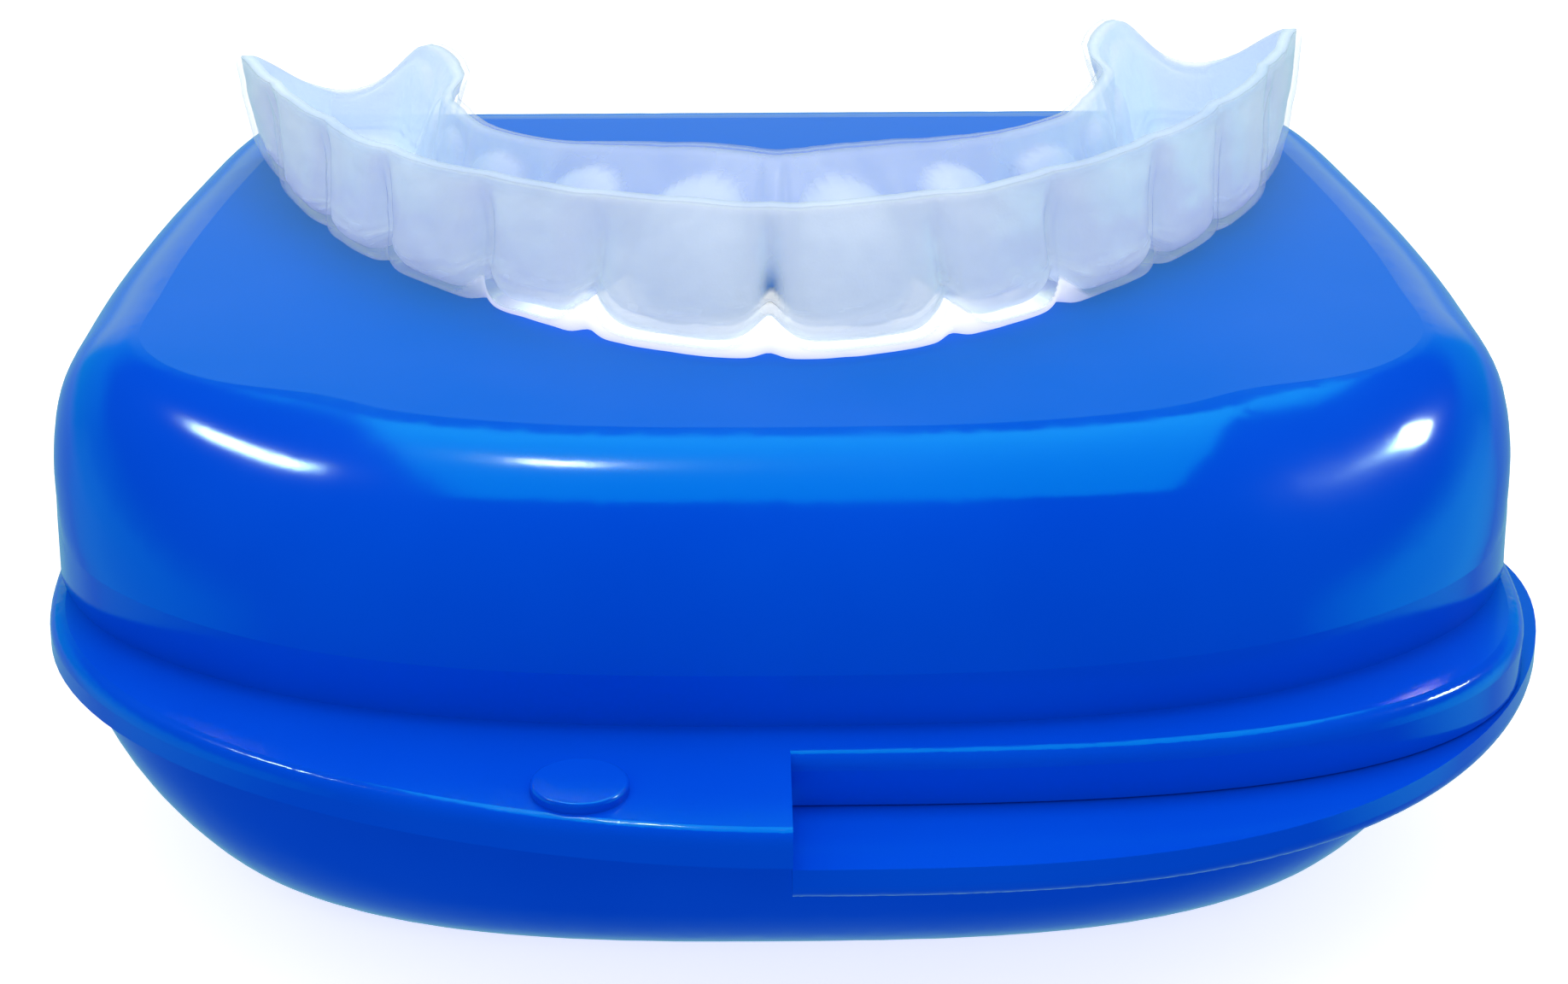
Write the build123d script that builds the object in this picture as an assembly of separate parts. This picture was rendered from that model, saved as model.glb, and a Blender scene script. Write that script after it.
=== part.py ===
from build123d import *
import math
import os

# Dental night guard resting on its closed clam-shell case.
# X is the width, -Y the front where the case opens, +Z up. The origin is the centre of the
# flat underside that the case rests on.

# ---------------------------------------------------------------- case: driving dimensions
HALF_HEIGHT = 14.5       # parting plane to the flat outer face, the same for both halves
WALL = 1.5               # side wall thickness
TOP_WALL = 1.6           # thickness of the flat outer face
SEAM = 0.05              # each half stops this far short of the joint line
SEAM_STEP = 0.5          # the joint line sits this far above or below the parting plane

BODY_HALF_WIDTH = 41.4   # widest half width of the shell
BODY_WIDE_Y = -11.0      # where the shell is widest
BODY_FRONT = 25.0        # from the widest line forward to the front wall
BODY_POWERS = (2.7, 2.3) # superellipse powers of the front, across and along
BACK_Y = 28.4            # outer face of the back wall
SIDE_TAPER = 0.0227      # how quickly the sides close towards the back
SIDE_POWER = 1.6
CORNER_R = 7.0           # back corner radius seen from above
BACK_ROUND = 5.0         # crown rounding along the back and around its corners
BACK_FROM_Y = -2.0       # the sides change to the back rounding from here to the corners
OUTLINE_ANGLES = (0, 6, 14, 24, 35, 46, 56, 66, 75, 83, 90)
# Rounding along the front, along the sides, how strongly and how sharply the front rounding
# reaches around the corners, how much the walls lean in per millimetre of height, and the height
# of the upright band that the rounded crown grows from.
LID_BOWL = (12.5, 5.0, 1.3, 1.0, 0.0, 5.5)
BASE_BOWL = (6.0, 14.0, 1.0, 2.0, 0.18, 1.0)
CROWN_STEPS = (0.0, 0.22, 0.42, 0.59, 0.72, 0.83, 0.91, 0.967, 1.0)

# Crescents along the front, one finger flange and one cut-back ledge on each half: half width,
# reach in front of the widest line, where that line is, powers across and along.
LID_FLANGE = (41.3, 29.4, -18.0, 1.8, 2.1)
LID_LEDGE = (41.4, 20.2, -18.7, 3.0, 2.6)
BASE_FLANGE = (42.9, 30.2, -15.4, 3.0, 1.8)
BASE_LEDGE = (41.0, 19.6, -18.7, 2.6, 1.6)
LIP_TOP = 2.5            # upper face of the crescents above the parting plane
LIP_EDGE_R = 0.9         # rounded outer edge
LIP_BACK_Y = -8.0        # where a crescent has run out into the side wall
LIP_SINK = 0.4           # its end lies this far inside the wall
LIP_ROOT = 4.0           # and its inner corner this far

DISC_X = 11.0            # round finger pad on the flange
DISC_SETBACK = 5.0       # its centre behind the front of the flange
DISC_R = 2.6
DISC_HEIGHT = 0.55
DISC_ROOT = 0.5
DISC_EDGE_R = 0.2

RIB_HEIGHT = 1.4         # locating rib that stands into the other half
RIB_THICK = 0.8
RIB_CLEARANCE = 0.45
RIB_ROOT = 0.3           # how far the foot of the rib runs into the wall
RIB_FOOT = 2.0           # height of the foot inside its own half
RIB_X = (5.0, 33.0)
RIB_Y = -13.0            # the rib ends here, where the front turns into the side

# ---------------------------------------------------------------- hinge
HINGE_X = 20.0           # middle of each hinge station
HINGE_OFFSET = 2.3       # pin axis behind the back wall
PIN_R = 1.2
HOOK_BORE_R = 1.25       # 0.05 mm running clearance around the pin
HOOK_R = 2.2
HOOK_WIDTH = 8.0
HOOK_SIDE_GAP = 0.25
HOOK_MOUTH = (-110.0, -10.0)
EAR_R = 2.0
EAR_THICK = 1.6
ROOT_LOW = 0.45          # the knuckle roots start this far from the parting plane
ROOT_HIGH = 5.0
ROOT_BITE = 0.6          # how far the roots run into the back wall
ROOT_ANGLE = 37.0        # where the root leaves the knuckle, from straight back
CREST_ANGLE = 53.0       # where the heel leaves the ear
PIN_BITE = 0.25          # how far the pin runs into each ear
MOUTH_REACH = 6.0        # length of the wedge that opens the hook
CUT_OVER = 1.0           # cutting shapes run past the surface by this much
OPEN_ANGLE = 115.0       # the heel on each ear meets the other back wall here
HEEL_REACH = 3.6
HEEL_GAP = 0.08

# ---------------------------------------------------------------- guard
GUARD_FRONT_Y = -15.7    # labial face of the front teeth at the biting edge
GUARD_HALF_WIDTH = 33.6
GUARD_DEPTH = 35.0
GUARD_POWERS = (2.0, 1.25)
GUARD_REST_GAP = 0.02
GUARD_HEIGHT = 8.6
SHELL_THICK = 0.9        # clear hard outer layer
LINER_THICK = 0.7        # soft frosted inner layer
BOND_GAP = 0.05
TOOTH_WIDTHS = (11.2, 7.8, 8.2, 6.6, 7.4, 9.8)   # from the midline back
EDGE_DEPTHS = (4.8, 4.8, 5.6, 7.2, 8.5, 9.6)     # front to back of each tooth at its biting edge
RIM_DEPTHS = (11.7, 9.5, 7.7, 8.4, 9.7, 11.2)    # and out to the lingual rim
LABIAL_LEANS = (3.0, 1.0, 0.5, 0.1, -0.2, -0.9)  # how far the labial wall leans back at the rim
TOOTH_BULGE = 0.45
ARCH_STEPS = 36          # outline points on each side of the midline
GUARD_LEVELS = ((0.0, 1.3), (0.5, 0.7), (1.3, 0.3), (3.0, 0.0), (6.0, 0.1), (GUARD_HEIGHT, 0.4))
ROUNDING_FADE = 2.4      # thickness at which the inner faces lose the edge rounding
SCOOP_X = 26.5           # the margin dips behind the last molar on each side
SCOOP_R = 7.0
SCOOP_DEPTH = 2.6
SCOOP_LENGTH = 10.0
OPENING_CUT = 2.0        # height of the cut that opens the channel upwards


# ================================================================ outlines
def superellipse(angle, half_width, depth, mid_y, powers):
    """A point of the front outline; 0 degrees is the front centre, 90 the side."""
    a = math.radians(angle)
    x = half_width * math.sin(a) ** (2 / powers[0])
    y = mid_y - depth * math.cos(a) ** (2 / powers[1])
    return x, y


def side_half_width(y):
    return BODY_HALF_WIDTH - SIDE_TAPER * (y - BODY_WIDE_Y) ** SIDE_POWER


def body_half_outline():
    """Right half of the shell seen from above, from the front centre to the back centre."""
    points = [superellipse(a, BODY_HALF_WIDTH, BODY_FRONT, BODY_WIDE_Y, BODY_POWERS)
              for a in OUTLINE_ANGLES]
    reach = BACK_Y - CORNER_R - BODY_WIDE_Y
    slope = math.atan(SIDE_TAPER * SIDE_POWER * reach ** (SIDE_POWER - 1))
    arc_start = BACK_Y - CORNER_R * (1 - math.sin(slope))
    steps = 6
    for i in range(1, steps + 1):
        y = BODY_WIDE_Y + (arc_start - BODY_WIDE_Y) * i / steps
        points.append((side_half_width(y), y))
    centre_x = points[-1][0] - CORNER_R * math.cos(slope)
    for part in (0.25, 0.5, 0.75, 1.0):
        a = slope + (math.pi / 2 - slope) * part
        points.append((centre_x + CORNER_R * math.cos(a), BACK_Y - CORNER_R * (1 - math.sin(a))))
    for part in (0.94, 0.84, 0.65, 0.35, 0.0):
        points.append((centre_x * part, BACK_Y))
    return points


def closed_outline(half):
    """The half outline and its mirror image as one loop."""
    return half + [(-x, y) for x, y in reversed(half[1:-1])]


def outward_normals(points):
    normals = []
    count = len(points)
    for i in range(count):
        ax, ay = points[i - 1]
        bx, by = points[(i + 1) % count]
        length = math.hypot(bx - ax, by - ay)
        normals.append(((by - ay) / length, (ax - bx) / length))
    return normals


def crown_inset(z, top, radius):
    """How far a wall rounded into a flat top has moved in at height z."""
    rise = z - (top - radius)
    if rise <= 0:
        return 0.0
    return radius - math.sqrt(max(radius ** 2 - rise ** 2, 0.0))


BODY = closed_outline(body_half_outline())
BODY_NORMALS = outward_normals(BODY)


def shell_wire(bowl, z, level, wall=0.0, top=HALF_HEIGHT):
    """Outline of a bowl at height z, with the inset that belongs to height `level`."""
    front_round, side_round, gain, power, lean = bowl[:5]
    corner_y = BACK_Y - CORNER_R
    points = []
    for (x, y), (nx, ny) in zip(BODY, BODY_NORMALS):
        front = min(1.0, gain * max(0.0, -ny) ** power)
        part = min(max((y - BACK_FROM_Y) / (corner_y - BACK_FROM_Y), 0.0), 1.0)
        rear = part * part * (3 - 2 * part)
        radius = side_round + (front_round - side_round) * front + (BACK_ROUND - side_round) * rear
        inset = wall + crown_inset(level, top, radius - wall) + lean * level * (1 - rear)
        points.append((x - nx * inset, y - ny * inset, z))
    return Wire([Edge.make_spline([Vector(*p) for p in points], periodic=True)])


def prism(wire, height):
    return extrude(Face(wire), amount=height, dir=(0, 0, 1))


# ================================================================ one half of the case
def bowl_solid(bowl, low, wall, top):
    """Upright band from z = low with the rounded crown on top, as a full solid."""
    band_top = bowl[5]
    levels = [band_top + (top - band_top) * step for step in CROWN_STEPS]
    band = prism(shell_wire(bowl, low, band_top, wall, top), band_top - low)
    crown = Solid.make_loft([shell_wire(bowl, z, z, wall, top) for z in levels])
    return band + crown


def crescent(side, shape, low):
    """Plate along the front of one side; side is -1 for the left, +1 for the right."""
    half_width, depth, mid_y, *powers = shape
    outline = [superellipse(a, half_width, depth, mid_y, powers) for a in OUTLINE_ANGLES]
    outline.append((BODY_HALF_WIDTH - LIP_SINK, LIP_BACK_Y))
    outline = [Vector(side * x, y, low) for x, y in outline]
    inner = Vector(side * (BODY_HALF_WIDTH - LIP_ROOT), LIP_BACK_Y, low)
    root = Vector(0, mid_y, low)
    front = Edge.make_spline(outline)
    lines = [Edge.make_line(outline[-1], inner), Edge.make_line(inner, root),
             Edge.make_line(root, outline[0])]
    plate = prism(Wire([front] + lines), LIP_TOP - low)
    rim = plate.faces().sort_by(Axis.Z)[-1].edges().filter_by(GeomType.BSPLINE)
    return fillet(rim, LIP_EDGE_R)


def locating_rib(bowl, other):
    """Low rib inside the front wall that stands into the other half on the right side."""
    tip_z = -SEAM_STEP - RIB_HEIGHT
    gap = WALL + RIB_CLEARANCE
    top = HALF_HEIGHT - TOP_WALL
    deepest = max(other[5], -tip_z)
    height = RIB_FOOT - tip_z
    outer = prism(shell_wire(other, tip_z, deepest, gap, top), height)
    inner = prism(shell_wire(other, tip_z, deepest, gap + RIB_THICK, top), height)
    foot = prism(shell_wire(bowl, SEAM_STEP, bowl[5], WALL - RIB_ROOT, top), RIB_FOOT - SEAM_STEP)
    ring = outer + foot - inner
    width = RIB_X[1] - RIB_X[0]
    reach = Box(width, BODY_FRONT, 2 * HALF_HEIGHT, align=(Align.MIN, Align.MAX, Align.CENTER))
    return ring & Pos(RIB_X[0], RIB_Y, 0) * reach


# ================================================================ hinge knuckles
def side_plate(points, x_mid, width):
    """A flat profile in (y, z) measured from the pin axis, given a width along X."""
    axis_y = BACK_Y + HINGE_OFFSET
    corners = [Vector(x_mid - width / 2, axis_y + y, z) for y, z in points]
    return extrude(Face(Wire.make_polygon(corners, close=True)), amount=width, dir=(1, 0, 0))


def rod(radius, x_mid, width):
    axis_y = BACK_Y + HINGE_OFFSET
    return Pos(x_mid, axis_y, 0) * Rot(0, 90, 0) * Cylinder(radius, width)


def on_circle(radius, degrees):
    angle = math.radians(degrees)
    return radius * math.cos(angle), radius * math.sin(angle)


def knuckle_root(x_mid, width, reach):
    """Web from the back wall to the knuckle."""
    wall = -HINGE_OFFSET - ROOT_BITE
    return side_plate([(wall, ROOT_LOW), (-reach, ROOT_LOW), (0, 0), on_circle(reach, ROOT_ANGLE),
                       (wall, ROOT_HIGH)], x_mid, width)


def pin_knuckle(x_mid):
    """Two ears carrying the pin, each with a heel that stops the opening."""
    turn = math.radians(180 + OPEN_ANGLE)
    flat = HINGE_OFFSET - HEEL_GAP
    along = math.sqrt(HEEL_REACH ** 2 - flat ** 2)
    foot = (flat * math.cos(turn), flat * math.sin(turn))
    tip = (foot[0] - along * math.sin(turn), foot[1] + along * math.cos(turn))
    crest = on_circle(EAR_R, CREST_ANGLE)
    shape = rod(PIN_R, x_mid, HOOK_WIDTH + 2 * (HOOK_SIDE_GAP + PIN_BITE))
    for side in (-1, 1):
        x = x_mid + side * (HOOK_WIDTH / 2 + HOOK_SIDE_GAP + EAR_THICK / 2)
        shape += rod(EAR_R, x, EAR_THICK)
        shape += knuckle_root(x, EAR_THICK, EAR_R)
        shape += side_plate([(0, 0), foot, tip, crest], x, EAR_THICK)
    return shape


def hook_knuckle(x_mid):
    """Open hook that snaps over the other half's pin."""
    through = HOOK_WIDTH + 2 * CUT_OVER
    sides = [on_circle(MOUTH_REACH, angle) for angle in HOOK_MOUTH]
    mouth = side_plate([(0, 0)] + sides, x_mid, through)
    body = rod(HOOK_R, x_mid, HOOK_WIDTH) + knuckle_root(x_mid, HOOK_WIDTH, HOOK_R)
    return body - rod(HOOK_BORE_R, x_mid, through) - mouth


def case_half(bowl, other, flange_shape, ledge_shape):
    """One half, with its parting plane at z = 0 and its outer face up; `other` is its partner."""
    body = bowl_solid(bowl, -SEAM_STEP + SEAM, 0.0, HALF_HEIGHT)
    flange = crescent(-1, flange_shape, SEAM_STEP + SEAM)
    ledge = crescent(1, ledge_shape, -SEAM_STEP + SEAM)
    beyond = 2 * BODY_HALF_WIDTH
    step = Box(beyond, 2 * beyond, HALF_HEIGHT, align=(Align.MAX, Align.CENTER, Align.MAX))
    body = body - Pos(SEAM, 0, SEAM_STEP + SEAM) * step
    cavity = bowl_solid(bowl, -2 * SEAM_STEP, WALL, HALF_HEIGHT - TOP_WALL)
    half = body + flange + ledge - cavity
    pad = Cylinder(DISC_R, DISC_HEIGHT + DISC_ROOT, align=(Align.CENTER, Align.CENTER, Align.MIN))
    pad = fillet(pad.edges().group_by(Axis.Z)[-1], DISC_EDGE_R)
    front = flange_shape[2] - flange_shape[1]
    half += Pos(-DISC_X, front + DISC_SETBACK, LIP_TOP - DISC_ROOT) * pad
    half += locating_rib(bowl, other)
    half += pin_knuckle(HINGE_X)
    half += hook_knuckle(-HINGE_X)
    return half


# ================================================================ guard
def arch_point(angle):
    """Labial outline of the arch, from the front centre (0) to the last molar (90)."""
    mid_y = GUARD_FRONT_Y + GUARD_DEPTH
    return superellipse(angle, GUARD_HALF_WIDTH, GUARD_DEPTH, mid_y, GUARD_POWERS)


def arch_table(steps=180):
    """Distance along the arch against the outline angle."""
    table = [(0.0, 0.0)]
    last = arch_point(0)
    for i in range(1, steps + 1):
        angle = 90 * i / steps
        here = arch_point(angle)
        table.append((table[-1][0] + math.dist(last, here), angle))
        last = here
    return table


ARCH = arch_table()
ARCH_LENGTH = ARCH[-1][0]


def arch_frame(s):
    """Point and outward normal at the distance s from the midline; negative s is the left."""
    side = -1 if s < 0 else 1
    s = min(abs(s), ARCH_LENGTH)
    index = next(i for i, row in enumerate(ARCH) if row[0] >= s)
    low, high = ARCH[max(index - 1, 0)], ARCH[max(index, 1)]
    part = (s - low[0]) / (high[0] - low[0])
    angle = low[1] + (high[1] - low[1]) * part
    ax, ay = arch_point(max(angle - 1.0, 0.0))
    bx, by = arch_point(min(angle + 1.0, 90.0))
    if angle < 1.0:
        ax, ay = -bx, by
    length = math.hypot(bx - ax, by - ay)
    px, py = arch_point(angle)
    return (side * px, py), (side * (by - ay) / length, (ax - bx) / length)


def tooth_at(s):
    """Tooth number and the fraction across it at the distance s from the midline."""
    s = abs(s)
    for number, width in enumerate(TOOTH_WIDTHS):
        if s <= width:
            return number, s / width
        s -= width
    return len(TOOTH_WIDTHS) - 1, 1.0


def blend_teeth(values, s):
    """A value given at the middle of each tooth, blended to its neighbours at the distance s."""
    number, part = tooth_at(s)
    here = values[number]
    other = values[min(number + 1, 5)] if part > 0.5 else values[max(number - 1, 0)]
    return here + (other - here) * abs(part - 0.5)


def guard_wire(z, inset):
    """Closed outline of the arch band, moved in by `inset` on every side."""
    end = min(sum(TOOTH_WIDTHS), ARCH_LENGTH) - inset
    up = z / GUARD_HEIGHT
    labial = []
    lingual = []
    for i in range(-ARCH_STEPS, ARCH_STEPS + 1):
        s = end * i / ARCH_STEPS
        (x, y), (nx, ny) = arch_frame(s)
        groove = TOOTH_BULGE * (1 + math.cos(2 * math.pi * tooth_at(s)[1])) / 2
        edge_depth = blend_teeth(EDGE_DEPTHS, s)
        depth = edge_depth + (blend_teeth(RIM_DEPTHS, s) - edge_depth) * up
        outer = -groove - inset - blend_teeth(LABIAL_LEANS, s) * up
        inner = -depth + inset + groove
        labial.append(Vector(x + nx * outer, y + ny * outer, z))
        lingual.append(Vector(x + nx * inner, y + ny * inner, z))
    edges = [Edge.make_spline(labial), Edge.make_line(labial[-1], lingual[-1]),
             Edge.make_spline(lingual[::-1]), Edge.make_line(lingual[0], labial[0])]
    return Wire(edges)


def guard_block(thickness):
    """Solid arch band with its biting side rounded, moved in by `thickness`."""
    wires = []
    for z, rounding in GUARD_LEVELS:
        level = z * (1 - thickness / GUARD_HEIGHT) + thickness
        inset = rounding * (1 - thickness / ROUNDING_FADE) + thickness
        wires.append(guard_wire(level, inset))
    return Solid.make_loft(wires)


def guard_layer(outer, inner):
    """One laminate layer: a channel between two thicknesses, open towards +Z."""
    core = guard_block(inner)
    roof = max(core.faces(), key=lambda f: f.center().Z)
    core += extrude(roof, amount=OPENING_CUT, dir=(0, 0, 1))
    layer = guard_block(outer) - core
    end_y = GUARD_FRONT_Y + GUARD_DEPTH
    scoop = Rot(90, 0, 0) * Cylinder(SCOOP_R, SCOOP_LENGTH)
    for side in (-1, 1):
        layer -= Pos(side * SCOOP_X, end_y, GUARD_HEIGHT + SCOOP_R - SCOOP_DEPTH) * scoop
    return layer


def place_guard(layer):
    return Pos(0, 0, 2 * HALF_HEIGHT + GUARD_REST_GAP) * layer


# ================================================================ parts
parts = {
    "case_lid": Pos(0, 0, HALF_HEIGHT) * case_half(LID_BOWL, BASE_BOWL, LID_FLANGE, LID_LEDGE),
    "case_base": Pos(0, 0, HALF_HEIGHT) * Rot(0, 180, 0) * case_half(BASE_BOWL, LID_BOWL,
                                                                     BASE_FLANGE, BASE_LEDGE),
    "guard_outer_shell": place_guard(guard_layer(0.0, SHELL_THICK)),
    "guard_inner_liner": place_guard(guard_layer(SHELL_THICK + BOND_GAP,
                                                 SHELL_THICK + BOND_GAP + LINER_THICK)),
}

os.makedirs("parts", exist_ok=True)
for name, shape in parts.items():
    export_step(shape, f"parts/{name}.step")
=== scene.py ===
import math

import bmesh
import bpy
import numpy as np
from mathutils import Matrix, Vector


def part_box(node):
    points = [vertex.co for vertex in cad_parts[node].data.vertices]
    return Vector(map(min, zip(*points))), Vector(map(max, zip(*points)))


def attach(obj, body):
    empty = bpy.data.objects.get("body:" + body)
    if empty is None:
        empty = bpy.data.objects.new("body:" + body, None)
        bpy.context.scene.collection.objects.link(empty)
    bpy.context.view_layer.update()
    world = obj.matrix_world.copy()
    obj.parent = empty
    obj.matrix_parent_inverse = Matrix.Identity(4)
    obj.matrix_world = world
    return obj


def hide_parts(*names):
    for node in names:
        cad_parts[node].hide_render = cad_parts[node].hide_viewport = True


# Dental night guard on its closed blue case. The case halves are the CAD nodes with materials;
# the two guard layers are rebuilt here tooth by tooth and ride on the CAD body "guard".

MM = 0.001
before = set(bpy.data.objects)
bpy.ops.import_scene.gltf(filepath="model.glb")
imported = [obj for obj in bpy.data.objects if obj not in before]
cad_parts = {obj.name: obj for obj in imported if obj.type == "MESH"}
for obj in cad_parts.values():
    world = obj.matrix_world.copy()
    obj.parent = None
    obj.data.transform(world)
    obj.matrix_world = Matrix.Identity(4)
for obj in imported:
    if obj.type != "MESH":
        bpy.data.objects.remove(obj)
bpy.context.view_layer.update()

# ---------------------------------------------------------------- guard: driving dimensions (mm)
# A place on the guard is given by s, the distance along the biting edge from the middle of the
# arch (negative on the left), and by how far it lies in from that edge, towards the tongue.
LID_FACE = round(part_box("case_lid")[1].z / MM, 3)     # flat top of the closed case
FRONT_Y = -15.2                  # front of the biting edge
HALF_WIDTH = 33.2
DEPTH = 35.0
ARCH_POWER = 1.25
MIDLINE = -0.85                  # the line between the front teeth sits a little to the left
REACH = 47.2                     # distance along the arch to the start of the rounded end
END_REACH = 3.6                  # length of the rounded distal end
END_FULLNESS = 0.75              # below 1 makes the end squarer than a circle
NARROWING = 0.068                # share by which the tongue side is shorter than the cheek side

RIM_HEIGHT = 8.35
RIM_LEFT_DROP = 1.15
RIM_RIGHT_RISE = 0.15
RIM_FRONT_DIP = 0.35
TONGUE_RIM_RISE = 0.45
REST_GAP = 0.03
SHELL = 0.85
LINER = 0.7
BOND = 0.03
BACK_THINNING = 0.45             # the pressed-in surfaces lie nearer the outside at the back
GRAIN = 0.08
FOOT_RADIUS = 1.5                # rounding between a wall and the biting face
FOOT_SHARE = 0.62                # share of a column's rows, from the rim to the foot of the wall

# one value per tooth, from the front tooth back
TOOTH_WIDTHS = (11.2, 7.8, 8.2, 6.6, 7.4, 9.8)
CROWN_FULLNESS = (0.75, 0.8, 0.95, 0.95, 0.95, 0.8)
MOUND_HEIGHTS = (1.9, 1.3, 1.0, 0.8, 0.8, 0.4)

# distances in from the biting edge, for the rims and the feet of the two walls
KNOTS = (0.0, 4.6, 9.2, 13.1, 17.0, 21.0, 25.2, 29.0, 32.6, 36.3, 40.0, 44.0, 48.0, 51.0)
LABIAL_RIM = (2.9, 2.7, 1.9, 1.0, 0.7, 0.4, -0.2, -0.6, -0.7, -0.75, -0.9, -1.0, -0.7, -0.5)
LINGUAL_RIM = (11.5, 11.4, 10.8, 9.9, 8.7, 7.5, 7.0, 7.3, 8.0, 8.8, 11.0, 11.7, 11.2, 11.3)
EDGE_FRONT = (-0.55, -0.5, -0.35, -0.2, -0.15, -0.3, -0.6, -0.8, -0.9, -0.8, -0.5, 0.0, 0.6, 0.9)
EDGE_BACK = (4.2, 4.0, 4.3, 4.2, 4.8, 4.8, 5.4, 6.2, 6.9, 7.6, 8.4, 9.3, 9.9, 10.0)

# back ends: a horn on the cheek side and one on the tongue side, with a valley between them
VALLEY_DEPTH = 2.9
VALLEY_EXTRA_LEFT = 0.1
HORN_RISE = 0.3
TIP_ROUNDING = 0.6

# mesh density
COLUMNS_ALONG = 330
COLUMNS_END = 26
ROWS_WALL = 44
ROWS_FOOT = 12
MERGE = 0.000004                 # metres


# ---------------------------------------------------------------- small helpers
def smooth(x, lo, hi):
    """0 at lo, 1 at hi, with a soft start and end; lo may be the larger."""
    t = np.clip((np.asarray(x, float) - lo) / (hi - lo), 0.0, 1.0)
    return t * t * (3 - 2 * t)


def bump(x, centre, width):
    """Bell curve, 1 at the centre."""
    return np.exp(-((np.asarray(x, float) - centre) / width) ** 2)


def hash_noise(ix, iy, seed):
    """Repeatable pseudo-random numbers in 0..1 for whole-number grid positions."""
    h = np.sin(ix * 127.1 + iy * 311.7 + seed * 74.7) * 43758.5453
    return h - np.floor(h)


def value_noise(x, y, seed):
    """Smooth two-dimensional noise, -1..1."""
    x = np.asarray(x, float)
    y = np.asarray(y, float)
    ix = np.floor(x)
    iy = np.floor(y)
    fx = smooth(x - ix, 0.0, 1.0)
    fy = smooth(y - iy, 0.0, 1.0)
    a = hash_noise(ix, iy, seed)
    b = hash_noise(ix + 1, iy, seed)
    c = hash_noise(ix, iy + 1, seed)
    d = hash_noise(ix + 1, iy + 1, seed)
    return 2 * ((a + (b - a) * fx) * (1 - fy) + (c + (d - c) * fx) * fy) - 1


# ---------------------------------------------------------------- arch
# quarter of the biting-edge outline, a curve between an ellipse and a parabola
_quarter = np.radians(np.linspace(0, 90, 1441))
EDGE_X = HALF_WIDTH * np.sin(_quarter)
EDGE_Y = FRONT_Y + DEPTH - DEPTH * np.cos(_quarter) ** (2 / ARCH_POWER)
EDGE_S = np.concatenate([[0.0], np.cumsum(np.hypot(np.diff(EDGE_X), np.diff(EDGE_Y)))])
EDGE_TX = np.gradient(EDGE_X, EDGE_S)
EDGE_TY = np.gradient(EDGE_Y, EDGE_S)
TOOTH_LINES = np.concatenate([[0.0], np.cumsum(TOOTH_WIDTHS)])


def arch(s):
    """Biting-edge outline: position and outward normal at the signed distance s along it."""
    s = np.asarray(s, float)
    side = np.where(s < 0, -1.0, 1.0)
    m = np.abs(s)
    over = np.maximum(m - EDGE_S[-1], 0.0)
    m = np.minimum(m, EDGE_S[-1])
    x = np.interp(m, EDGE_S, EDGE_X)
    y = np.interp(m, EDGE_S, EDGE_Y) + over
    tx = np.interp(m, EDGE_S, EDGE_TX)
    ty = np.interp(m, EDGE_S, EDGE_TY)
    length = np.hypot(tx, ty)
    return side * x, y, side * ty / length, -tx / length


def along(s, values):
    """Smoothly joined values, given at the KNOTS."""
    knots = np.asarray(KNOTS)
    values = np.asarray(values, float)
    m = np.abs(s)
    k = np.clip(np.searchsorted(knots, m, side="right") - 1, 0, len(knots) - 2)
    h = knots[k + 1] - knots[k]
    t = np.clip((m - knots[k]) / h, 0.0, 1.0)
    slope = np.zeros(len(knots))
    slope[1:-1] = (values[2:] - values[:-2]) / (knots[2:] - knots[:-2])
    start = (2 * t**3 - 3 * t**2 + 1) * values[k] + (t**3 - 2 * t**2 + t) * h * slope[k]
    end = (3 * t**2 - 2 * t**3) * values[k + 1] + (t**3 - t**2) * h * slope[k + 1]
    return start + end


def tooth(s):
    """Tooth number, 0 at the front, and place across it, -1 (mesial) to 1 (distal)."""
    m = np.minimum(np.abs(s - MIDLINE), TOOTH_LINES[-1] - 1e-6)
    number = np.searchsorted(TOOTH_LINES, m, side="right") - 1
    width = np.asarray(TOOTH_WIDTHS)[number]
    return number, 2 * (m - TOOTH_LINES[number]) / width - 1


def embrasure(s, width):
    """1 on the line between two teeth, fading to 0 over `width` mm; weaker between the molars."""
    m = np.abs(s - MIDLINE)
    out = bump(m, 0.0, width)
    for line in TOOTH_LINES[1:-1]:
        strength = 1.0 if line < 30 else 0.45
        out = np.maximum(out, bump(m, line, width) * strength)
    return out


# ---------------------------------------------------------------- guard surfaces
def dome_shape(across, level):
    """Height of the mound on the tongue side of one tooth, 0..1."""
    height = 1 - ((across - 0.1) / 0.72) ** 2 - ((level - 0.42) / 0.44) ** 4
    return np.clip(height, 0.0, 1.0) ** 0.5


def rim_height(s, q):
    """Height of the rim above the lid, which isn't quite level from side to side."""
    left = RIM_LEFT_DROP * smooth(-s, 8.0, 40.0)
    right = RIM_RIGHT_RISE * smooth(s, 8.0, 40.0)
    tongue = TONGUE_RIM_RISE * (q + 1) / 2 * smooth(np.abs(s), 30.0, 10.0)
    return RIM_HEIGHT - left + right - RIM_FRONT_DIP * bump(s, 0.0, 6.0) + tongue


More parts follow.
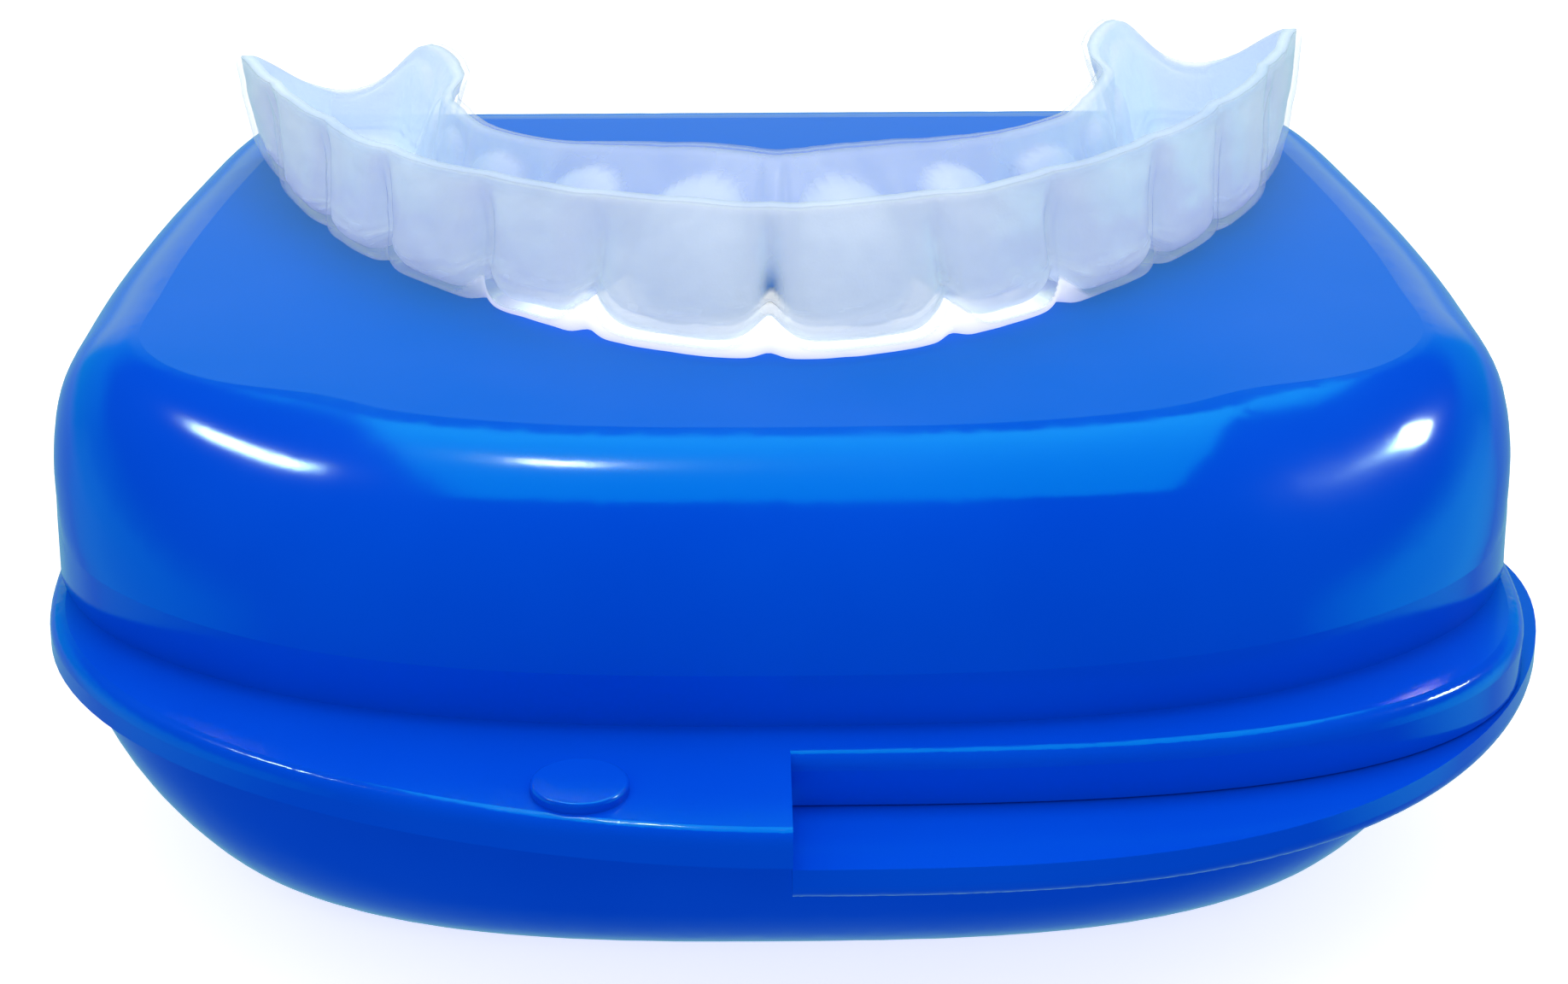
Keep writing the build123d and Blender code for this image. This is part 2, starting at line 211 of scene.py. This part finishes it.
def crowns(s, number, across, level, imprint):
    """Offsets of the labial and the lingual wall for the tooth shapes."""
    strength = 0.55 + 0.45 * imprint + 0.25 * (1 - imprint) * smooth(np.abs(s), 14.0, 22.0)
    crown = (0.35 + 0.65 * smooth(level, 1.05, 0.55)) * smooth(level, -0.05, 0.25)
    swell = strength * np.asarray(CROWN_FULLNESS)[number] * crown
    body = 1 - np.abs(across) ** 3.2
    groove = embrasure(s, 0.55 + 0.25 * (1 - imprint)) * strength * 0.5 * smooth(level, 0.98, 0.6)
    mound = np.asarray(MOUND_HEIGHTS)[number] * imprint * dome_shape(across, level)
    slit = 0.35 * imprint * bump(np.abs(s - MIDLINE), 1.35, 0.28) * bump(level, 0.8, 0.16)
    labial = groove - swell * (body - 0.72)
    lingual = 0.45 * swell * (body - 0.7) - mound + slit - 0.3 * groove
    return labial, lingual


def section(s, q, w, inset, imprint):
    """A point of one guard surface.

    s: place along the arch; q: -1 labial wall .. +1 lingual wall; w: 0 rim .. FOOT_SHARE foot of
    the wall .. 1 middle of the biting face. inset moves the surface inwards; imprint (0..1) adds
    the sharper tooth shapes pressed into the inner layer.
    Returns the distance in from the biting edge, the height, the reach of the rounded end, the
    share of the way from the foot to mid-face, the place across the tooth and the level on the
    wall, 1 at the rim and 0 at the foot.
    """
    number, across = tooth(s)
    rise = np.clip(w / FOOT_SHARE, 0.0, 1.0)
    foot = np.clip((w - FOOT_SHARE) / (1 - FOOT_SHARE), 0.0, 1.0)
    level = 1 - rise

    right_end = smooth(s, 37.0, 48.0)
    lab_top = along(s, LABIAL_RIM) + inset + 0.9 * right_end
    lin_top = along(s, LINGUAL_RIM) - inset + 0.4 * right_end
    lab_low = along(s, EDGE_FRONT) + inset + 0.4 * right_end
    lin_low = along(s, EDGE_BACK) - inset

    # the wall, from the rim down to its rounded foot
    top = rim_height(s, q)
    bottom = REST_GAP + inset
    round_r = FOOT_RADIUS - 0.6 * inset
    z = top - (top - bottom) * rise
    turn = np.clip((z - bottom) / round_r, 0.0, 1.0)
    corner = round_r * (1 - np.sqrt(np.clip(1 - (1 - turn) ** 2, 0.0, 1.0)))
    lab_crown, lin_crown = crowns(s, number, across, level, imprint)
    lab = lab_low + (lab_top - lab_low) * level + lab_crown
    lin = lin_low + (lin_top - lin_low) * level ** 1.15 + lin_crown

    # across the guard, and around its rounded distal end
    half = ((lin - lab) / 2 - corner) * (1 - foot)
    reach = (END_REACH - inset) * np.clip(half / np.maximum((lin - lab) / 2, 0.3), 0.0, 1.0)
    return (lab + lin) / 2 + q * half, z, reach, foot, across, level


def column_layout():
    """Grids of s, w, q and the turn round the distal ends, one column per place on the rim."""
    line = np.linspace(-REACH, REACH, COLUMNS_ALONG)
    phi = np.linspace(-math.pi / 2, math.pi / 2, COLUMNS_END + 2)[1:-1]
    rounded = np.cos(phi) ** END_FULLNESS
    along_wall = np.ones(COLUMNS_ALONG)
    around_end = np.full(COLUMNS_END, REACH)
    s = np.concatenate([line, around_end, line[::-1], -around_end])
    q = np.concatenate([-along_wall, np.sin(phi), along_wall, np.sin(phi[::-1])])
    turn = np.concatenate([0 * along_wall, rounded, 0 * along_wall, -rounded])
    wall = FOOT_SHARE * np.linspace(0, 1, ROWS_WALL) ** 0.9
    face = np.linspace(FOOT_SHARE, 1.0, ROWS_FOOT + 1)[1:]
    s, w = np.meshgrid(s, np.concatenate([wall, face]), indexing="ij")
    return s, w, np.broadcast_to(q[:, None], s.shape), np.broadcast_to(turn[:, None], s.shape)


def distal_rim(s, q, turn):
    """Change in rim height at the back ends: two horns with a valley between them."""
    tip = smooth(np.abs(s) + 2.2 * np.abs(turn), REACH - 3.0, REACH + 2.4)
    between = q - 0.2 * (1 - q * q)
    valley = np.clip(1 - between ** 2, 0.0, 1.0) ** 1.3 * smooth(np.abs(turn), 0.0, 0.4)
    horn = HORN_RISE * smooth(np.abs(s), REACH - 5.0, REACH - 0.5) * smooth(q, -0.5, 0.8)
    depth = VALLEY_DEPTH + VALLEY_EXTRA_LEFT * (s < 0)
    return horn - TIP_ROUNDING * tip ** 2 - depth * valley


def biting_face(s, across, level, foot, imprint):
    """Lift of the biting face: up at each line between teeth, with hollows in the back teeth."""
    m = np.abs(s)
    face = smooth(1 - level, 0.55, 1.0) * (1 - 0.35 * smooth(m, 20.0, 36.0))
    lift = embrasure(s, 0.8 + 0.5 * imprint) * (0.25 + 0.75 * imprint)
    lift = lift + imprint * 0.45 * np.abs(across) ** 4
    hollow = imprint * smooth(m, 24.0, 34.0) * (0.9 * foot - 0.8 * foot * (1 - foot))
    return lift * face + hollow


def unevenness(s, w, q, turn, level, foot, grain):
    """Hand-formed waves, and fine creases low on the walls of a grained surface."""
    slow = 0.10 * value_noise(s * 0.33 + 9, w * 5 + q, 3.0)
    quick = 0.05 * value_noise(s * 0.9, w * 13 + 2 * q, 5.0)
    wave = (slow + quick) * np.where(q < 0, 1.0, -1.0) * (1 - np.abs(turn))
    crease = value_noise(s * 0.8 + 2.5 * w, w * 44 + 0.3 * s, 11.0) * smooth(level, 0.42, 0.12)
    return (wave + grain * crease * np.where(q < 0, 1.0, -0.6)) * (1 - foot)


def guard_surface(inset, imprint, grain):
    """Points of one bowl: columns around the rim, rows from the rim to the middle of the face."""
    s, w, q, turn = column_layout()
    inset = inset - BACK_THINNING * imprint * smooth(np.abs(s), 15.0, 22.0)
    inwards, z, reach, foot, across, level = section(s, q, w, inset, imprint)
    z = z + distal_rim(s, q, turn) * level + biting_face(s, across, level, foot, imprint)
    inwards = inwards + unevenness(s, w, q, turn, level, foot, grain)
    skew = 1 - NARROWING * (q + 1) / 2 * smooth(np.abs(s), 18.0, REACH)
    x, y, nx, ny = arch((s + turn * reach) * skew)
    return np.stack([x - nx * inwards, y - ny * inwards, z + LID_FACE], -1), level, s, q


def grid_faces(columns, rows, flip=False, offset=0):
    """Quads of a grid that is closed around its columns."""
    faces = []
    for i in range(columns):
        j = (i + 1) % columns
        for k in range(rows - 1):
            a = offset + i * rows + k
            b = offset + j * rows + k
            quad = (a, b, b + 1, a + 1)
            faces.append(quad[::-1] if flip else quad)
    return faces


def make_layer(name, outer, inner, attribute, values):
    """Closed thin solid between two bowl surfaces, with one value per point for its material."""
    columns, rows = outer.shape[:2]
    points = np.concatenate([outer.reshape(-1, 3), inner.reshape(-1, 3)]) * MM
    count = columns * rows
    faces = grid_faces(columns, rows) + grid_faces(columns, rows, flip=True, offset=count)
    for i in range(columns):
        j = (i + 1) % columns
        faces.append((i * rows, count + i * rows, count + j * rows, j * rows))
    mesh = bpy.data.meshes.new(name)
    mesh.from_pydata(points.tolist(), [], faces)
    layer = mesh.attributes.new(attribute, "FLOAT", "POINT")
    layer.data.foreach_set("value", np.asarray(values, np.float32))
    bm = bmesh.new()
    bm.from_mesh(mesh)
    bmesh.ops.remove_doubles(bm, verts=bm.verts, dist=MERGE)
    bmesh.ops.dissolve_degenerate(bm, dist=MERGE, edges=bm.edges)
    bmesh.ops.recalc_face_normals(bm, faces=bm.faces)
    bm.to_mesh(mesh)
    bm.free()
    for p in mesh.polygons:
        p.use_smooth = True
    obj = bpy.data.objects.new(name, mesh)
    bpy.context.scene.collection.objects.link(obj)
    return obj


# ---------------------------------------------------------------- node helpers
def new_material(name):
    """An empty material with one principled shader: the material, its tree and the shader."""
    mat = bpy.data.materials.new(name)
    mat.use_nodes = True
    tree = mat.node_tree
    tree.nodes.clear()
    out = tree.nodes.new("ShaderNodeOutputMaterial")
    bsdf = tree.nodes.new("ShaderNodeBsdfPrincipled")
    tree.links.new(bsdf.outputs["BSDF"], out.inputs["Surface"])
    return mat, tree, bsdf


def node(tree, kind, **settings):
    n = tree.nodes.new(kind)
    for key, value in settings.items():
        setattr(n, key, value)
    return n


def connect(tree, value, socket):
    """Put a number, a colour or another node's output on an input socket."""
    if isinstance(value, (int, float)):
        socket.default_value = value
    elif isinstance(value, tuple):
        socket.default_value = (*value, 1.0)
    else:
        tree.links.new(value, socket)


def math_node(tree, operation, *values, clamp=False):
    n = node(tree, "ShaderNodeMath", operation=operation, use_clamp=clamp)
    for socket, value in zip(n.inputs, values):
        connect(tree, value, socket)
    return n.outputs[0]


def noise(tree, coord, scale, detail=2.0, rough=0.5):
    n = node(tree, "ShaderNodeTexNoise")
    n.inputs["Scale"].default_value = scale
    n.inputs["Detail"].default_value = detail
    n.inputs["Roughness"].default_value = rough
    tree.links.new(coord, n.inputs["Vector"])
    return n.outputs["Fac"]


def map_range(tree, value, from_min, from_max, to_min, to_max):
    n = node(tree, "ShaderNodeMapRange", clamp=True)
    n.inputs["From Min"].default_value = from_min
    n.inputs["From Max"].default_value = from_max
    n.inputs["To Min"].default_value = to_min
    n.inputs["To Max"].default_value = to_max
    tree.links.new(value, n.inputs["Value"])
    return n.outputs["Result"]


def mix_colour(tree, fac, a, b):
    n = node(tree, "ShaderNodeMix", data_type="RGBA")
    tree.links.new(fac, n.inputs[0])
    connect(tree, a, n.inputs[6])
    connect(tree, b, n.inputs[7])
    return n.outputs[2]


def fine_bump(tree, bsdf, height, strength, distance):
    n = node(tree, "ShaderNodeBump")
    n.inputs["Strength"].default_value = strength
    n.inputs["Distance"].default_value = distance
    tree.links.new(height, n.inputs["Height"])
    tree.links.new(n.outputs["Normal"], bsdf.inputs["Normal"])


# ---------------------------------------------------------------- materials
def case_material():
    """Glossy moulded plastic: cloudy blue, uneven gloss, a few pale specks."""
    mat, tree, bsdf = new_material("blue_polypropylene")
    place = node(tree, "ShaderNodeTexCoord")
    coord = place.outputs["Object"]
    cloud = noise(tree, coord, 60.0, 3.0)
    specks = node(tree, "ShaderNodeTexVoronoi", feature="F1")
    specks.inputs["Scale"].default_value = 170.0
    tree.links.new(coord, specks.inputs["Vector"])
    spot = map_range(tree, specks.outputs["Distance"], 0.035, 0.05, 1.0, 0.0)
    chance = map_range(tree, noise(tree, coord, 48.0, 1.0), 0.6, 0.66, 0.0, 1.0)
    speck = math_node(tree, "MULTIPLY", spot, chance)
    clouded = mix_colour(tree, cloud, (0.0, 0.067, 0.74), (0.0, 0.084, 0.84))
    colour = mix_colour(tree, speck, clouded, (0.10, 0.32, 0.95))
    tree.links.new(colour, bsdf.inputs["Base Color"])
    # the flat top of the lid is a little duller than the rounded sides
    upward = node(tree, "ShaderNodeSeparateXYZ")
    tree.links.new(place.outputs["Normal"], upward.inputs["Vector"])
    flat = map_range(tree, upward.outputs["Z"], 0.985, 0.9995, 0.0, 0.04)
    rough = math_node(tree, "ADD", map_range(tree, cloud, 0.3, 0.7, 0.09, 0.15), flat)
    tree.links.new(rough, bsdf.inputs["Roughness"])
    bsdf.inputs["IOR"].default_value = 1.5
    bsdf.inputs["Specular Tint"].default_value = (0.03, 0.9, 1.0, 1.0)
    fine_bump(tree, bsdf, noise(tree, coord, 2600.0, 2.0), 0.02, 0.0001)
    return mat


def liner_material():
    """Frosted soft layer, see-through by an amount that the mesh's veil value scales, with a
    painted glow standing in for light scattered inside it.
    """
    mat, tree, bsdf = new_material("frosted_liner")
    coord = node(tree, "ShaderNodeTexCoord").outputs["Object"]
    cloud = noise(tree, coord, 180.0, 3.0)
    colour = mix_colour(tree, cloud, (0.58, 0.70, 0.87), (0.69, 0.80, 0.92))
    tree.links.new(colour, bsdf.inputs["Base Color"])
    bsdf.inputs["Roughness"].default_value = 0.42
    # painted glow: the liner gives out its own colour as light, in place of light scattered inside
    # the frosted layer
    tree.links.new(colour, bsdf.inputs["Emission Color"])
    bsdf.inputs["Emission Strength"].default_value = 0.22
    veil = node(tree, "ShaderNodeAttribute", attribute_name="veil").outputs["Fac"]
    cloudy = map_range(tree, cloud, 0.3, 0.7, 0.42, 0.54)
    tree.links.new(math_node(tree, "MULTIPLY", cloudy, veil), bsdf.inputs["Alpha"])
    fine_bump(tree, bsdf, noise(tree, coord, 1500.0, 3.0, 0.6), 0.35, 0.0002)
    return mat


def shell_material():
    """Clear hard layer; the mesh's edge value marks where it shows as a white polished rim. The
    rim's whiteness is a painted glow: emission and opacity stand in for light caught in the thick
    clear plastic, and the whole layer has a faint painted glow.
    """
    mat, tree, bsdf = new_material("clear_shell")
    coord = node(tree, "ShaderNodeTexCoord").outputs["Object"]
    rim = node(tree, "ShaderNodeAttribute", attribute_name="edge").outputs["Fac"]
    facing = node(tree, "ShaderNodeLayerWeight")
    facing.inputs["Blend"].default_value = 0.25
    colour = mix_colour(tree, rim, (0.86, 0.92, 0.99), (1.0, 1.0, 0.97))
    tree.links.new(colour, bsdf.inputs["Base Color"])
    bsdf.inputs["Roughness"].default_value = 0.12
    bsdf.inputs["IOR"].default_value = 1.49
    tree.links.new(colour, bsdf.inputs["Emission Color"])
    # painted glow: the shell gives out light, strongly on the white rim and faintly everywhere, in
    # place of light caught in the clear plastic
    glow = math_node(tree, "MULTIPLY_ADD", rim, 0.52, 0.06)
    tree.links.new(glow, bsdf.inputs["Emission Strength"])
    # painted sheen: the shell turns more opaque, so whiter, at grazing angles, in place of its
    # reflection at a slant
    grazing_sheen = math_node(tree, "MULTIPLY", facing.outputs["Facing"], 0.35)
    haze = math_node(tree, "MULTIPLY_ADD", noise(tree, coord, 220.0, 2.0), 0.08, 0.06)
    clear = math_node(tree, "ADD", grazing_sheen, haze)
    alpha = math_node(tree, "MULTIPLY_ADD", rim, 0.9, clear, clamp=True)
    tree.links.new(alpha, bsdf.inputs["Alpha"])
    return mat


def floor_material():
    mat, _, bsdf = new_material("pale_floor")
    bsdf.inputs["Base Color"].default_value = (0.93, 0.93, 0.94, 1)
    bsdf.inputs["Roughness"].default_value = 0.9
    bsdf.inputs["Specular IOR Level"].default_value = 0.0
    bsdf.inputs["Emission Color"].default_value = (1, 1, 1, 1)
    bsdf.inputs["Emission Strength"].default_value = 0.7
    return mat


# ---------------------------------------------------------------- case: the CAD nodes
def dress_case():
    """Give both halves the blue plastic."""
    blue = case_material()
    halves = [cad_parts[name] for name in ("case_lid", "case_base")]
    for obj in halves:
        obj.data.materials.clear()
        obj.data.materials.append(blue)
    return halves


# ---------------------------------------------------------------- guard layers
def veil_values(s, q, level, midline, rim_line):
    """How milky the liner is, 1 being plain: clearer at the front of the tongue side and on the
    lines between teeth, milkier on the mounds, the cheek side and the back ends."""
    m = np.abs(s)
    labial = q < 0
    tongue_side = smooth(q, -0.2, 0.8) * smooth(m, 34.0, 16.0)
    thin_lines = embrasure(s, 0.5) * bump(level, 0.28, 0.2) * labial
    domes = dome_shape(tooth(s)[1], level) ** 0.5 * (q > 0) * smooth(m, 30.0, 14.0)
    back_ends = smooth(m, 30.0, 42.0) * (0.6 + 0.3 * labial)
    cheek = smooth(m, 11.0, 14.0) * labial
    clearer = 0.42 * tongue_side + 0.6 * thin_lines + 0.65 * midline + 0.8 * rim_line
    milkier = 0.6 * domes + back_ends + 0.55 * cheek
    return 1 - clearer + milkier


def rim_glow_values(outer, liner_out, s):
    """1 where the outer layer stands below the liner's teeth as a polished rim, at the front; the
    shell material paints this rim white with a glow in place of light caught in the clear plastic.
    """
    imprint_low = liner_out[:, -ROWS_FOOT - 2:, 2].min(axis=1, keepdims=True)
    mask = smooth(imprint_low + 0.15 - outer[..., 2], 0.0, 0.3)
    return mask * (1 - 0.85 * smooth(np.abs(s), 16.0, 22.0))


def build_guard():
    """Clear outer layer and frosted liner, in place of their CAD nodes."""
    outer, level, s, q = guard_surface(0.0, 0.0, 0.0)
    shell_in = guard_surface(SHELL - BOND, 1.0, 0.0)[0]
    liner_out = guard_surface(SHELL, 1.0, GRAIN)[0]
    liner_in = guard_surface(SHELL + LINER, 1.0, GRAIN)[0]

    groove_level = np.where(q < 0, bump(level, 0.36, 0.32), bump(level, 0.0, 0.4))
    midline = bump(s, MIDLINE + 0.15, 1.0) * groove_level
    rim_line = smooth(level, 0.9, 0.99) * smooth(np.abs(s), 10.0, 20.0) * (q < 0.5)
    veil = veil_values(s, q, level, midline, rim_line).ravel()
    # the edge value sets the shell's painted white glow: strong on the front rim, weaker on the
    # midline and the rim line
    clear_line = -0.12 * midline - 0.16 * rim_line
    edge = [(rim_glow_values(outer, liner_out, s) + clear_line).ravel(), clear_line.ravel()]

    liner = make_layer("guard_liner", liner_out, liner_in, "veil", np.concatenate([veil, veil]))
    shell = make_layer("guard_shell", outer, shell_in, "edge", np.concatenate(edge))
    dressing = (
        (shell, shell_material(), "guard_outer_shell", "guard_clear"),
        (liner, liner_material(), "guard_inner_liner", "guard_frosted"),
    )
    for obj, material, cad_node, slot in dressing:
        obj.data.materials.append(material)
        obj.visible_glossy = False
        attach(obj, "guard")
        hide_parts(cad_node)
    return [shell, liner]


# ---------------------------------------------------------------- floor
FLOOR_HALF = 1.5                 # metres


def build_floor():
    """Pale floor, kept out of reflections and bounced light so that the plastic stays dark."""
    mesh = bpy.data.meshes.new("floor")
    signs = ((-1, -1), (1, -1), (1, 1), (-1, 1))
    corners = [(x * FLOOR_HALF, y * FLOOR_HALF, 0) for x, y in signs]
    mesh.from_pydata(corners, [], [(0, 1, 2, 3)])
    mesh.materials.append(floor_material())
    obj = bpy.data.objects.new("floor", mesh)
    bpy.context.scene.collection.objects.link(obj)
    obj.visible_glossy = False
    obj.visible_diffuse = False


# ---------------------------------------------------------------- lights (metres, watts)
WHITE = (1.0, 1.0, 1.0)
WARM = (1.0, 0.40, 0.36)         # the blue plastic returns this as white
AZURE = (0.05, 0.95, 0.9)
CARD_AIM = (0, -0.02, 0.025)     # the upper front of the case


def receivers(name, objects):
    """A collection of the only objects that a light falls on."""
    group = bpy.data.collections.new(name)
    for obj in objects:
        group.objects.link(obj)
    return group


def area_light(name, place, aim, size, power, colour, group):
    data = bpy.data.lights.new(name, "AREA")
    data.shape = "RECTANGLE"
    data.size, data.size_y = size
    data.energy = power
    data.color = colour
    obj = bpy.data.objects.new(name, data)
    bpy.context.scene.collection.objects.link(obj)
    obj.location = place
    obj.rotation_euler = (Vector(aim) - Vector(place)).to_track_quat("-Z", "Y").to_euler()
    obj.light_linking.receiver_collection = group
    return obj


def overhead_panel(name, x, y, z, size, power, colour, group):
    area_light(name, (x, y, z), (x, y, 0), size, power, colour, group)


def highlight_card(name, place, size, power, colour, group):
    """A small softbox that only shows as a reflection in the polished plastic."""
    card = area_light(name, place, CARD_AIM, size, power, colour, group)
    card.visible_diffuse = False


def build_lights(case, guard):
    on_case = receivers("case_only", case)
    on_guard = receivers("guard_only", guard)
    overhead_panel("case_panel", 0.03, 0.42, 0.60, (0.36, 0.78), 2.4, AZURE, on_case)
    overhead_panel("guard_panel", 0.0, 0.05, 0.60, (0.5, 0.5), 1.6, WHITE, on_guard)
    highlight_card("left_card", (-0.262, 0.165, 0.50), (0.04, 0.04), 0.85, WARM, on_case)
    highlight_card("right_card", (0.41, 0.11, 0.42), (0.07, 0.08), 4.0, WARM, on_case)
    highlight_card("strip_card", (-0.058, 0.285, 0.55), (0.022, 0.03), 0.35, WARM, on_case)
    highlight_card("guard_card", (0.20, -0.10, 0.55), (0.08, 0.08), 0.6, WHITE, on_guard)


# ---------------------------------------------------------------- surroundings
def mirror_room(tree, x, y, z):
    """Colour that the polished plastic reflects in each direction: a pale room behind the case,
    a bright band low behind it, and a glow on either side. The tints are strong because the
    plastic returns hardly any red."""
    behind = map_range(tree, y, -0.25, 0.6, 0.03, 0.8)
    below_gap = map_range(tree, z, 0.42, 0.54, 1.0, 0.12)
    above_floor = map_range(tree, z, -0.06, 0.04, 0.8, 1.0)
    room = math_node(tree, "MULTIPLY", math_node(tree, "MULTIPLY", behind, below_gap), above_floor)
    band_top = map_range(tree, z, 0.345, 0.395, 1.0, 0.0)
    band = math_node(tree, "MULTIPLY", band_top, map_range(tree, y, 0.85, 0.92, 0.0, 1.0))
    high = mix_colour(tree, band, (0.02, 0.95, 0.7), (0.95, 1.45, 0.5))
    low = map_range(tree, z, 0.0, 0.12, 0.0, 1.0)
    sky = mix_colour(tree, low, (0.35, 0.85, 1.0), high)
    mirror = mix_colour(tree, room, (0.0, 0.0, 0.0), sky)
    right_glow = map_range(tree, x, 0.80, 0.97, 0.0, 0.9)
    left_glow = map_range(tree, x, -0.80, -0.97, 0.0, 0.45)
    beside = math_node(tree, "ADD", right_glow, left_glow)
    beside = math_node(tree, "MULTIPLY", beside, map_range(tree, z, 0.45, 0.2, 0.0, 1.0))
    return mix_colour(tree, beside, mirror, (0.3, 2.2, 2.0))


def build_world():
    """White to the camera, soft grey as light, and the mirror room in reflections."""
    world = bpy.data.worlds.new("studio")
    bpy.context.scene.world = world
    world.use_nodes = True
    tree = world.node_tree
    tree.nodes.clear()
    out = node(tree, "ShaderNodeOutputWorld")
    back = node(tree, "ShaderNodeBackground")
    ray = node(tree, "ShaderNodeLightPath").outputs
    split = node(tree, "ShaderNodeSeparateXYZ")
    direction = node(tree, "ShaderNodeTexCoord").outputs["Generated"]
    tree.links.new(direction, split.inputs["Vector"])
    mirror = mirror_room(tree, *split.outputs)
    ambient = map_range(tree, split.outputs["Z"], -0.5, 0.35, 0.66, 0.76)
    shade = mix_colour(tree, ray["Is Glossy Ray"], ambient, mirror)
    seen = mix_colour(tree, ray["Is Camera Ray"], shade, WHITE)
    tree.links.new(seen, back.inputs["Color"])
    tree.links.new(back.outputs["Background"], out.inputs["Surface"])


# ---------------------------------------------------------------- camera
TARGET = Vector((0.0, -24.5, 17.0)) * MM     # a point inside the front of the case
ELEVATION = math.radians(27.0)
YAW = math.radians(0.9)
DISTANCE = 0.270
AIM_UP = math.radians(1.643)     # the case sits a little low in the picture
AIM_LEFT = math.radians(0.03)
LENS = 112.1
SENSOR = 36.0


def build_camera():
    data = bpy.data.cameras.new("camera")
    data.sensor_width = SENSOR
    data.lens = LENS
    data.clip_start = 0.01
    camera = bpy.data.objects.new("camera", data)
    bpy.context.scene.collection.objects.link(camera)
    level = math.cos(ELEVATION)
    away = Vector((-math.sin(YAW) * level, -math.cos(YAW) * level, math.sin(ELEVATION)))
    camera.location = TARGET + away * DISTANCE
    look = -away
    to_the_right = look.cross(Vector((0, 0, 1))).normalized()
    look = Matrix.Rotation(AIM_UP, 3, to_the_right) @ look
    look = Matrix.Rotation(AIM_LEFT, 3, "Z") @ look
    camera.rotation_euler = look.to_track_quat("-Z", "Y").to_euler()
    bpy.context.scene.camera = camera


# ---------------------------------------------------------------- build
case_halves = dress_case()
guard_layers = build_guard()
build_floor()
build_lights(case_halves, guard_layers)
build_world()
bpy.context.scene.view_settings.view_transform = "Standard"
build_camera()
